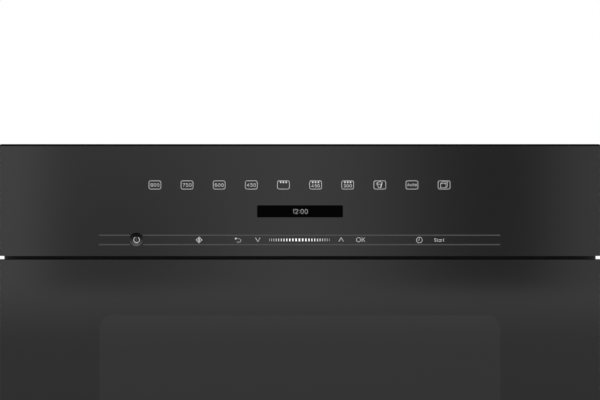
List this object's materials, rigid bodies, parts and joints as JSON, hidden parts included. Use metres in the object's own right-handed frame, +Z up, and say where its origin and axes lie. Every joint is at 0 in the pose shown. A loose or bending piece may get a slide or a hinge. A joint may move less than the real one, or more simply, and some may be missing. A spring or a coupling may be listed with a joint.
{
  "type": "built-in microwave oven",
  "caption": "Built-in microwave oven with a black glass front: a touch fascia with display over a drop-down door, steel cavity with glass turntable and grill.",
  "frame": {"origin": "on the niche floor, under the middle of the appliance's outer box", "axes": "+X to the right seen from the front, +Y from the glass front to the back, +Z up"},
  "size_m": [0.595, 0.57, 0.456],
  "materials": {
    "black_glass": "satin black, printed behind",
    "display_black": "matt black display window",
    "clear_glass": "clear",
    "stainless_steel": "linen-finished stainless",
    "galvanised_steel": "spangled zinc",
    "black_steel": "black enamel",
    "black_plastic": "fine grained black",
    "white_plastic": "off-white moulded",
    "hinge_steel": "zinc-plated",
    "heater_tube": "oxidised heater tube",
    "mica": "pressed mica",
    "ferrite": "sintered ferrite",
    "aluminium": "drawn aluminium",
    "core_steel": "varnished laminations",
    "copper": "enamelled copper",
    "circuit_board": "solder-masked board",
    "dark_plastic": "moulded"
  },
  "bodies": {
    "chassis": {"base_plate": "galvanised_steel", "rear_panel": "galvanised_steel", "left_side_panel": "galvanised_steel", "right_side_panel": "galvanised_steel", "top_cover": "galvanised_steel", "front_frame": "stainless_steel", "mounting_deck": "galvanised_steel", "cable_gland": "black_plastic", "cavity_floor": "stainless_steel", "cavity_ceiling": "stainless_steel", "cavity_left_wall": "stainless_steel", "cavity_right_wall": "stainless_steel", "cavity_rear_wall": "stainless_steel", "grill_element": "heater_tube", "lamp_housing": "galvanised_steel", "lamp_bulb": "clear_glass", "waveguide": "galvanised_steel", "waveguide_cover": "mica", "magnetron_yoke": "galvanised_steel", "magnetron_magnets": "ferrite", "magnetron_anode": "aluminium", "fan_housing": "black_plastic", "air_duct": "white_plastic", "transformer_core": "core_steel", "transformer_coils": "copper", "hv_capacitor": "aluminium", "hv_diode": "dark_plastic", "power_board": "circuit_board", "turntable_motor": "galvanised_steel", "fascia_glass": "black_glass", "display_module": "display_black", "touch_board": "circuit_board", "fascia_carrier": "black_plastic", "left_hinge_bracket": "hinge_steel", "right_hinge_bracket": "hinge_steel", "left_interlock_bracket": "white_plastic", "right_interlock_bracket": "white_plastic", "door_switches": "black_plastic", "release_solenoid": "dark_plastic"},
    "door": {"door_glass": "black_glass", "door_frame": "black_plastic", "choke_frame": "black_steel", "choke_cover": "black_plastic", "door_screen": "black_steel", "door_inner_glass": "clear_glass", "left_hinge_leaf": "hinge_steel", "right_hinge_leaf": "hinge_steel"},
    "latch": {"latch_rod": "hinge_steel", "left_latch_hook": "white_plastic", "right_latch_hook": "white_plastic"},
    "switch_plungers": {"switch_plungers": "white_plastic"},
    "release_pin": {"release_pin": "hinge_steel"},
    "turntable": {"drive_coupler": "white_plastic", "glass_tray": "clear_glass"},
    "roller_ring": {"roller_ring": "white_plastic"},
    "roller_1": {"roller_1": "white_plastic"},
    "roller_2": {"roller_2": "white_plastic"},
    "roller_3": {"roller_3": "white_plastic"},
    "fan_rotor": {"fan_rotor": "black_plastic"}
  },
  "joints": [
    {"name": "door_hinge", "type": "hinge", "parent": "chassis", "child": "door", "pos_m": [0, -0.273, 0.018], "axis": [1, 0, 0], "range_deg": [0, 90], "stiffness_Nm_per_rad": 4, "springref_deg": -8.59},
    {"name": "latch_pivot", "type": "hinge", "parent": "door", "child": "latch", "pos_m": [0, -0.275, 0.3327], "axis": [-1, 0, 0], "range_deg": [0, 10]},
    {"name": "plunger_slide", "type": "slide", "parent": "chassis", "child": "switch_plungers", "axis": [0, 0, -1], "range_m": [0, 0.00395]},
    {"name": "release_slide", "type": "slide", "parent": "chassis", "child": "release_pin", "axis": [0, 0, -1], "range_m": [0, 0.00395]},
    {"name": "turntable_spin", "type": "hinge", "parent": "chassis", "child": "turntable", "pos_m": [0, -0.043, 0.09], "axis": [0, 0, 1], "continuous": true},
    {"name": "ring_spin", "type": "hinge", "parent": "chassis", "child": "roller_ring", "pos_m": [0, -0.043, 0.0805], "axis": [0, 0, 1], "continuous": true},
    {"name": "fan_spin", "type": "hinge", "parent": "chassis", "child": "fan_rotor", "pos_m": [0.1668, 0.25, 0.3758], "axis": [0, 1, 0], "continuous": true},
    {"name": "roller_1_spin", "type": "hinge", "parent": "roller_ring", "child": "roller_1", "pos_m": [0, 0.0774, 0.0805], "axis": [0, 1, 0], "continuous": true},
    {"name": "roller_2_spin", "type": "hinge", "parent": "roller_ring", "child": "roller_2", "pos_m": [-0.10427, -0.1032, 0.0805], "axis": [-0.866, -0.5, 0], "continuous": true},
    {"name": "roller_3_spin", "type": "hinge", "parent": "roller_ring", "child": "roller_3", "pos_m": [0.10427, -0.1032, 0.0805], "axis": [0.866, -0.5, 0], "continuous": true}
  ],
  "couplings": [
    {"joint": "plunger_slide", "follows": "latch_pivot", "m_per_rad": 0.022059},
    {"joint": "release_slide", "follows": "latch_pivot", "m_per_rad": 0.022059},
    {"joint": "ring_spin", "follows": "turntable_spin", "ratio": 0.5},
    {"joint": "roller_1_spin", "follows": "turntable_spin", "ratio": -7.0824},
    {"joint": "roller_2_spin", "follows": "turntable_spin", "ratio": -7.0824},
    {"joint": "roller_3_spin", "follows": "turntable_spin", "ratio": -7.0824}
  ]
}
